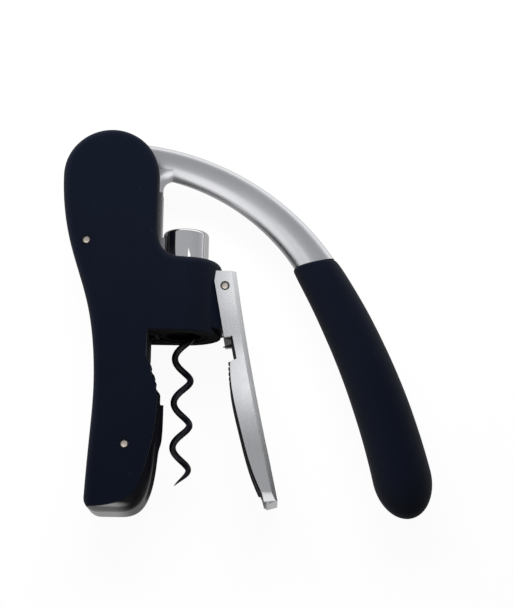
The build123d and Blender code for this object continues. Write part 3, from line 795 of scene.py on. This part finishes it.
@dataclass
class HandleBody:
    """The two shells, the core between them and what pins them together."""

    shells: tuple[str, ...] = ("right_shell", "left_shell")
    plates: tuple[str, ...] = ("right_side_plate", "left_side_plate", "plate_spacer")
    hidden_pins: tuple[str, ...] = ("frame_rivet", "lever_axle")
    cross_pins: tuple[str, ...] = ("upper_cross_pin", "lower_cross_pin")
    bushes: tuple[str, ...] = ("axle_bushes", "worm_nut", "nut_ring")

    def dress(self) -> None:
        """Gives each node its finish, and turns the cross pins."""
        for names, finish in ((self.shells, SOFT_SHELL), (self.plates, PLATE_STEEL),
                              (self.hidden_pins, PIN_STEEL), (self.bushes, BUSH_PLASTIC)):
            for name in names:
                dress(name, finish)
        dress("handle_core", CORE_PLASTIC)
        for name in self.cross_pins:
            TurnedPin(name, Body.FRAME).build()


@dataclass
class Lever:
    """The toothed lever arm and its grip.

    Points are in millimetres. swell and lip give the share of the full section at shares of the
    spine and at millimetres from the grip's mouth.
    """

    arm_end: tuple[tuple[float, float], tuple[float, float]] = ((46.8, 31.0), (63.8, 34.9))
    spine: tuple[tuple[float, float], ...] = ((50.7, 39.8), (80.9, -20.0), (96.3, -75.3))
    half_width: float = 12.3 * MM
    half_depth: float = 10.6 * MM
    swell: tuple[tuple[float, float], ...] = (
        (0.0, 0.68), (0.05, 0.75), (0.3, 0.86), (0.6, 0.95), (0.86, 1.0))
    lip: tuple[tuple[float, float], ...] = (
        (0.0, 0.90), (0.10, 0.945), (0.30, 0.975), (0.65, 0.993), (1.2, 1.0))
    turn_in: float = 0.10
    facets: int = 72
    body_rows: int = 26
    dome_rows: int = 15
    row_gap: float = 0.004
    search_steps: int = 400
    smooth_angle: float = 50.0

    def curve(self) -> tuple[Vector, float, float, float]:
        """The circle that the grip's spine lies on.

        Returns:
            Its centre and radius in metres, and the angles of the spine's start and end.
        """
        (ax, ay), (bx, by), (cx, cy) = self.spine
        d = 2 * (ax * (by - cy) + bx * (cy - ay) + cx * (ay - by))
        a, b, c = (x * x + y * y for x, y in self.spine)
        middle = Vector(((a * (by - cy) + b * (cy - ay) + c * (ay - by)) / d,
                         (a * (cx - bx) + b * (ax - cx) + c * (bx - ax)) / d, 0.0)) * MM
        first, last = (Vector((x, y, 0.0)) * MM - middle for x, y in (self.spine[0], self.spine[2]))
        return middle, first.length, math.atan2(first.y, first.x), math.atan2(last.y, last.x)

    def share(self, place: float) -> float:
        """How full the grip is at a place on its spine.

        Args:
            place: 0 at the spine's start, 1 at the round end.

        Returns:
            The share of its full section.
        """
        last = self.swell[-1][0]
        if place > last:
            return math.sqrt(max(0.0, 1.0 - ((place - last) / (1.0 - last)) ** 2))
        for (x0, y0), (x1, y1) in zip(self.swell, self.swell[1:]):
            if place <= x1:
                return y0 + (y1 - y0) * (place - x0) / (x1 - x0)
        return 1.0

    def build_grip(self) -> bpy.types.Object:
        """Draws the grip out of an oval along its spine, from a rounded lip to a round end.

        Returns:
            The grip.
        """
        middle, radius, first, last = self.curve()
        near, far = (Vector((*corner, 0.0)) * MM for corner in self.arm_end)
        edge = (far - near).normalized()
        places = (i / self.search_steps for i in range(self.search_steps))
        start = next(place for place in places if (self.spine_point(place) - near).cross(edge).z > 0)
        full = self.swell[-1][0]
        body = [start + (full - start) * i / self.body_rows for i in range(self.body_rows + 1)]
        dome = [full + (1 - full) * math.sin(math.pi / 2 * i / self.dome_rows)
                for i in range(1, self.dome_rows)]
        length = radius * abs(last - first)
        rows = [(start + d * MM / length, k) for d, k in self.lip]
        rows += [(place, 1.0) for place in body + dome if place > rows[-1][0] + self.row_gap]
        slant = math.atan2(edge.y, edge.x)
        bench: Optional[Bench] = None
        was = (0.0, 0.0)
        for place, trim in rows:
            at = self.spine_point(place)
            away = at - middle
            ease = max(0.0, 1.0 - (place - start) / self.turn_in)
            square = math.atan2(away.y, away.x)
            facing = square + (slant - square) * ease * ease
            size = self.share(place) * trim
            if bench is None:
                bench = Bench.from_ring("lever_grip_moulded", at, facing,
                                        (size * self.half_width, size * self.half_depth), self.facets)
            else:
                bench.extrude_to(at)
                bench.turn(facing - was[0])
                bench.resize(size / was[1])
            was = (facing, size)
        bench.close()
        return bench.finish(GRIP_RUBBER, Body.LEVER, "lever_grip", self.smooth_angle)

    def spine_point(self, place: float) -> Vector:
        """A point on the grip's spine.

        Args:
            place: 0 at its start, 1 at its end.

        Returns:
            The point, in metres.
        """
        middle, radius, first, last = self.curve()
        angle = first + (last - first) * place
        return middle + Vector((math.cos(angle), math.sin(angle), 0.0)) * radius

    def dress(self) -> None:
        """Gives the arm its finish and builds the grip."""
        dress("lever_arm", SATIN_METAL)
        self.build_grip()


@dataclass
class Carriage:
    """The rack, the cap and the worm's bearing.

    crown_shape gives shares of the cap's radius and of its crown's drop.
    """

    cap_wall: float = 1.2 * MM
    cap_round: float = 1.6 * MM
    cap_crown: float = 0.06 * MM
    crown_shape: tuple[tuple[float, float], ...] = ((0.6, 0.3), (0.3, 0.0), (0.0, 0.0))
    foot_round: float = 0.2 * MM
    slot_half_width: float = 4.15 * MM
    slot_top: float = 43.15 * MM
    blade_length: float = 20 * MM
    blade_over: float = 2 * MM
    cap_steps: int = 144
    rim_steps: int = 10
    smooth_angle: float = 35.0

    def build_cap(self) -> bpy.types.Object:
        """Turns the cap, then saws the slot for the rack's bridge.

        Returns:
            The cap.
        """
        low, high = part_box("chrome_cap")
        radius, bore = high.x, high.x - self.cap_wall
        arc = [math.pi / 2 * i / self.rim_steps for i in range(self.rim_steps + 1)]
        top = high.y - self.cap_crown
        rim = [(radius - self.cap_round * (1 - math.cos(a)), top - self.cap_round * (1 - math.sin(a)))
               for a in arc]
        foot = [(bore + self.foot_round, low.y), (radius - self.foot_round, low.y),
                (radius, low.y + self.foot_round)]
        roof = high.y - self.cap_wall
        inside = [(0.0, roof), (bore - 2 * self.foot_round, roof), (bore, roof - 2 * self.foot_round),
                  (bore, low.y + self.foot_round)]
        crown = [(radius * r, high.y - self.cap_crown * d) for r, d in self.crown_shape]
        outline = [Vector((r, y, 0.0)) for r, y in inside + foot + rim + crown]
        bench = Bench.from_point("chrome_cap_turned", outline[0])
        for point in outline[1:]:
            bench.extrude_to(point)
        bench.lathe(Vector(), Axis.Y, self.cap_steps)
        bpy.ops.object.mode_set(mode="OBJECT")
        self.saw_slot(bench.piece, low.y)
        bpy.ops.object.mode_set(mode="EDIT")
        return bench.finish(CAP_CHROME, Body.CARRIAGE, "chrome_cap", self.smooth_angle)

    def saw_slot(self, cap: bpy.types.Object, foot: float) -> None:
        """Cuts the slot at the back of the cap.

        Args:
            cap: The turned cap.
            foot: The height of its lower edge.
        """
        bpy.ops.object.select_all(action="DESELECT")
        height = self.slot_top - foot + self.blade_over
        middle = (-self.blade_length / 2, self.slot_top - height / 2, 0.0)
        bpy.ops.mesh.primitive_cube_add(size=1.0, location=middle)
        blade = bpy.context.object
        blade.scale = (self.blade_length, height, 2 * self.slot_half_width)
        bpy.ops.object.transform_apply(location=True, rotation=True, scale=True)
        bpy.ops.object.select_all(action="DESELECT")
        cap.select_set(True)
        bpy.context.view_layer.objects.active = cap
        cut = cap.modifiers.new("slot", "BOOLEAN")
        cut.operation = "DIFFERENCE"
        cut.solver = "EXACT"
        cut.object = blade
        bpy.ops.object.modifier_apply(modifier=cut.name)
        bpy.data.objects.remove(blade)

    def dress(self) -> None:
        """Gives the rack and the bearing their finish, and builds the cap."""
        dress("carriage_rack", RACK_METAL)
        self.build_cap()
        dress("spindle_bush", BUSH_PLASTIC)
        dress("thrust_washer", PLATE_STEEL)


@dataclass
class WormUnit:
    """The worm and its spindle."""

    seat: tuple[str, ...] = ("worm_spindle", "spindle_clip")

    def dress(self) -> None:
        """Gives each node its finish."""
        for name in self.seat:
            dress(name, PLATE_STEEL)
        dress("worm", WORM_COATING)


@dataclass
class NeckClamp:
    """The hinged clamp lever and its pad.

    tip_pulls gives the corners of the lever's tip and how far each is dragged to square it.
    """

    lever_edge: float = 0.35 * MM
    pad_edge: float = 0.3 * MM
    smooth_angle: float = 32.0
    tip_reach: float = 2.6 * MM
    tip_pulls: tuple[tuple[Point, Point], ...] = (
        ((40.9 * MM, -68.8 * MM, 0.0), (0.0, -1.4 * MM, 0.0)),
        ((38.2 * MM, -71.5 * MM, 0.0), (-1.5 * MM, -0.2 * MM, 0.0)),
        ((35.7 * MM, -69.6 * MM, 0.0), (-0.4 * MM, -1.0 * MM, 0.0)),
    )

    def build_lever(self) -> bpy.types.Object:
        """Squares the lever's tip and breaks its edges.

        Returns:
            The lever.
        """
        bench = Bench.from_node("clamp_lever_eased", "clamp_lever")
        for corner, by in self.tip_pulls:
            bench.pull(Vector(corner), Vector(by), self.tip_reach)
        bench.round_edges(self.lever_edge)
        return bench.finish(CLAMP_METAL, Body.CLAMP, "clamp_lever", self.smooth_angle, even_faces=True)

    def build_pad(self) -> bpy.types.Object:
        """Breaks the pad's edges.

        Returns:
            The pad.
        """
        bench = Bench.from_node("clamp_pad_eased", "clamp_pad")
        bench.round_edges(self.pad_edge)
        return bench.finish(PAD_RUBBER, Body.CLAMP, "clamp_pad", self.smooth_angle, even_faces=True)

    def dress(self) -> None:
        """Builds the lever, its pad and the pin they hang on."""
        self.build_lever()
        self.build_pad()
        TurnedPin("clamp_pin", Body.CLAMP).build()


# ---------------------------------------------------------------- studio

WHITE = (1.0, 1.0, 1.0)


@dataclass(frozen=True)
class Lamp:
    """One soft box or card; mirrored says whether metal shows it."""

    name: str
    place: Point
    aim: Point
    size: tuple[float, float]
    power: float
    mirrored: bool = False

    def build(self) -> None:
        """Adds the lamp."""
        data = bpy.data.lights.new(self.name, "AREA")
        data.shape = "RECTANGLE"
        data.size, data.size_y = self.size
        data.energy = self.power
        made = bpy.data.objects.new(self.name, data)
        bpy.context.scene.collection.objects.link(made)
        made.location = self.place
        made.visible_glossy = self.mirrored
        made.visible_camera = False
        made.rotation_euler = (Vector(self.aim) - Vector(self.place)).to_track_quat("-Z", "Y").to_euler()


@dataclass
class Studio:
    """The floor, the lamps, the world and the photograph's camera.

    Metal sees the floor grey near the part, white beyond the lever (past far_from along far_way) and
    beside_tone beside the clamp (right of beside_from, in front of beside_to).
    """

    image: tuple[int, int] = (513, 608)
    seat_pixel: tuple[float, float] = (183.59, 337.87)
    metres_per_pixel: float = 0.4254 * MM
    azimuth: float = 2.005
    elevation: float = 76.63
    roll: float = -1.055
    distance: float = 0.75
    sensor: float = 36.0
    clips: tuple[float, float] = (0.01, 50.0)
    floor_size: float = 6.0
    floor_gap: float = 0.2 * MM
    floor_paint: Colour = (0.92, 0.92, 0.92)
    floor_glow: float = 0.95
    floor_mirrored: float = 0.45
    far_way: tuple[float, float] = (0.62, 0.78)
    far_from: tuple[float, float] = (75 * MM, 95 * MM)
    beside_from: tuple[float, float] = (34 * MM, 42 * MM)
    beside_to: tuple[float, float] = (15 * MM, 30 * MM)
    beside_tone: Colour = (0.60, 0.60, 0.615)
    world_level: float = 1.0
    fill_level: float = 0.18
    bright_side: Point = (-0.20, -0.85, 0.48)
    world_tones: tuple[tuple[float, Colour], ...] = (
        (0.20, (1.30, 1.30, 1.30)),
        (0.27, (0.44, 0.445, 0.46)),
        (0.38, (0.37, 0.375, 0.39)),
        (0.62, (0.42, 0.425, 0.44)),
        (0.74, (0.52, 0.52, 0.53)),
        (0.86, (1.25, 1.25, 1.25)),
    )
    lamps: tuple[Lamp, ...] = (
        Lamp("head_box", (0.0, 0.25, 0.28), (0.0, 0.02, 0.0), (0.45, 0.16), 2.6),
        Lamp("side_box", (-0.42, 0.10, 0.10), (-0.04, 0.02, 0.0), (0.40, 0.14), 1.6),
        Lamp("clamp_card", (0.026, 0.044, 0.085), (0.024, 0.024, 0.0), (0.018, 0.034), 0.0018,
             mirrored=True),
        Lamp("tail_card", (0.0285, -0.004, 0.085), (0.0285, -0.024, 0.0), (0.018, 0.026), 0.0014,
             mirrored=True),
    )

    def build(self) -> None:
        """Builds the floor, lights and camera."""
        self.build_floor()
        for lamp in self.lamps:
            lamp.build()
        self.build_world()
        self.build_camera()
        bpy.context.scene.view_settings.view_transform = "Standard"

    def build_floor(self) -> None:
        """Lays a pale floor under the part, white to the camera where no shadow falls."""
        bpy.ops.object.select_all(action="DESELECT")
        level = CAD_BOX[0].z - self.floor_gap
        bpy.ops.mesh.primitive_plane_add(size=self.floor_size, location=(0.0, 0.0, level))
        floor = bpy.context.object
        floor.name = "studio_floor"
        made = bpy.data.materials.new("studio_floor_paint")
        made.use_nodes = True
        graph = Graph(made.node_tree)
        paint = graph.node("ShaderNodeBsdfDiffuse", None, {"Color": (*self.floor_paint, 1.0)})
        right, back = graph.coordinate(Axis.X), graph.coordinate(Axis.Y)
        far = (right * self.far_way[0] + back * self.far_way[1]).span(*self.far_from)
        beside = right.span(*self.beside_from) * (1.0 - back.span(*self.beside_to))
        mirrored = graph.blend(beside, graph.blend(far, (self.floor_mirrored,) * 3, WHITE), self.beside_tone)
        glow = graph.node("ShaderNodeEmission", None, {"Color": (*WHITE, 1.0)})
        card = graph.node("ShaderNodeEmission", None, {"Color": mirrored})
        seen, glossy, through = (graph.node("ShaderNodeLightPath", output=ray)
                                 for ray in ("Is Camera Ray", "Is Glossy Ray", "Is Transmission Ray"))
        shown = graph.node("ShaderNodeMixShader", None,
                           {0: (seen + through) * self.floor_glow, 1: paint, 2: glow})
        mixed = graph.node("ShaderNodeMixShader", None, {0: glossy, 1: shown, 2: card})
        graph.node("ShaderNodeOutputMaterial", None, {"Surface": mixed})
        floor.data.materials.append(made)

    def build_world(self) -> None:
        """Fills the world with soft grey light between two bright ends, white to the camera itself."""
        world = bpy.data.worlds.new("studio_world")
        world.use_nodes = True
        bpy.context.scene.world = world
        graph = Graph(world.node_tree)
        direction = graph.node("ShaderNodeTexCoord", output="Generated")
        facing = graph.node("ShaderNodeVectorMath", {"operation": "DOT_PRODUCT"},
                            {0: direction, 1: self.bright_side}, output="Value")
        tone = graph.node("ShaderNodeValToRGB", {"stops": self.world_tones}, {0: facing * 0.5 + 0.5})
        seen = graph.node("ShaderNodeLightPath", output="Is Camera Ray")
        mirrored = graph.node("ShaderNodeLightPath", output="Is Glossy Ray")
        shown = graph.blend(seen, tone, WHITE)
        mirror_lift, camera_lift = self.world_level - self.fill_level, 1.0 - self.fill_level
        strength = self.fill_level + mirrored * mirror_lift + seen * camera_lift
        sky = graph.node("ShaderNodeBackground", None, {"Color": shown, "Strength": strength})
        graph.node("ShaderNodeOutputWorld", None, {"Surface": sky})

    def build_camera(self) -> None:
        """Sets the camera where the photograph was taken from."""
        data = bpy.data.cameras.new("photo_camera")
        data.sensor_width = self.sensor
        data.lens = self.sensor * self.distance / (max(self.image) * self.metres_per_pixel)
        data.clip_start, data.clip_end = self.clips
        made = bpy.data.objects.new("photo_camera", data)
        bpy.context.scene.collection.objects.link(made)
        turn, rise = math.radians(self.azimuth), math.radians(self.elevation)
        back = Vector((math.sin(turn) * math.cos(rise), -math.cos(turn) * math.cos(rise), math.sin(rise)))
        look = (-back).to_track_quat("-Z", "Y").to_matrix() @ Matrix.Rotation(math.radians(self.roll), 3, "Z")
        across = (self.image[0] / 2 - self.seat_pixel[0]) * self.metres_per_pixel
        up = (self.seat_pixel[1] - self.image[1] / 2) * self.metres_per_pixel
        made.rotation_mode = "QUATERNION"
        made.rotation_quaternion = look.to_quaternion()
        made.location = look.col[0] * across + look.col[1] * up + back * self.distance
        bpy.context.scene.camera = made


# ---------------------------------------------------------------- main


def main() -> None:
    """Builds and dresses every sub-assembly, then the studio."""
    logging.basicConfig(level=logging.INFO, format="%(name)s: %(message)s")
    for assembly in (HandleBody(), Lever(), Carriage(), WormUnit(), NeckClamp()):
        assembly.dress()
    Studio().build()


if __name__ == "__main__":
    main()
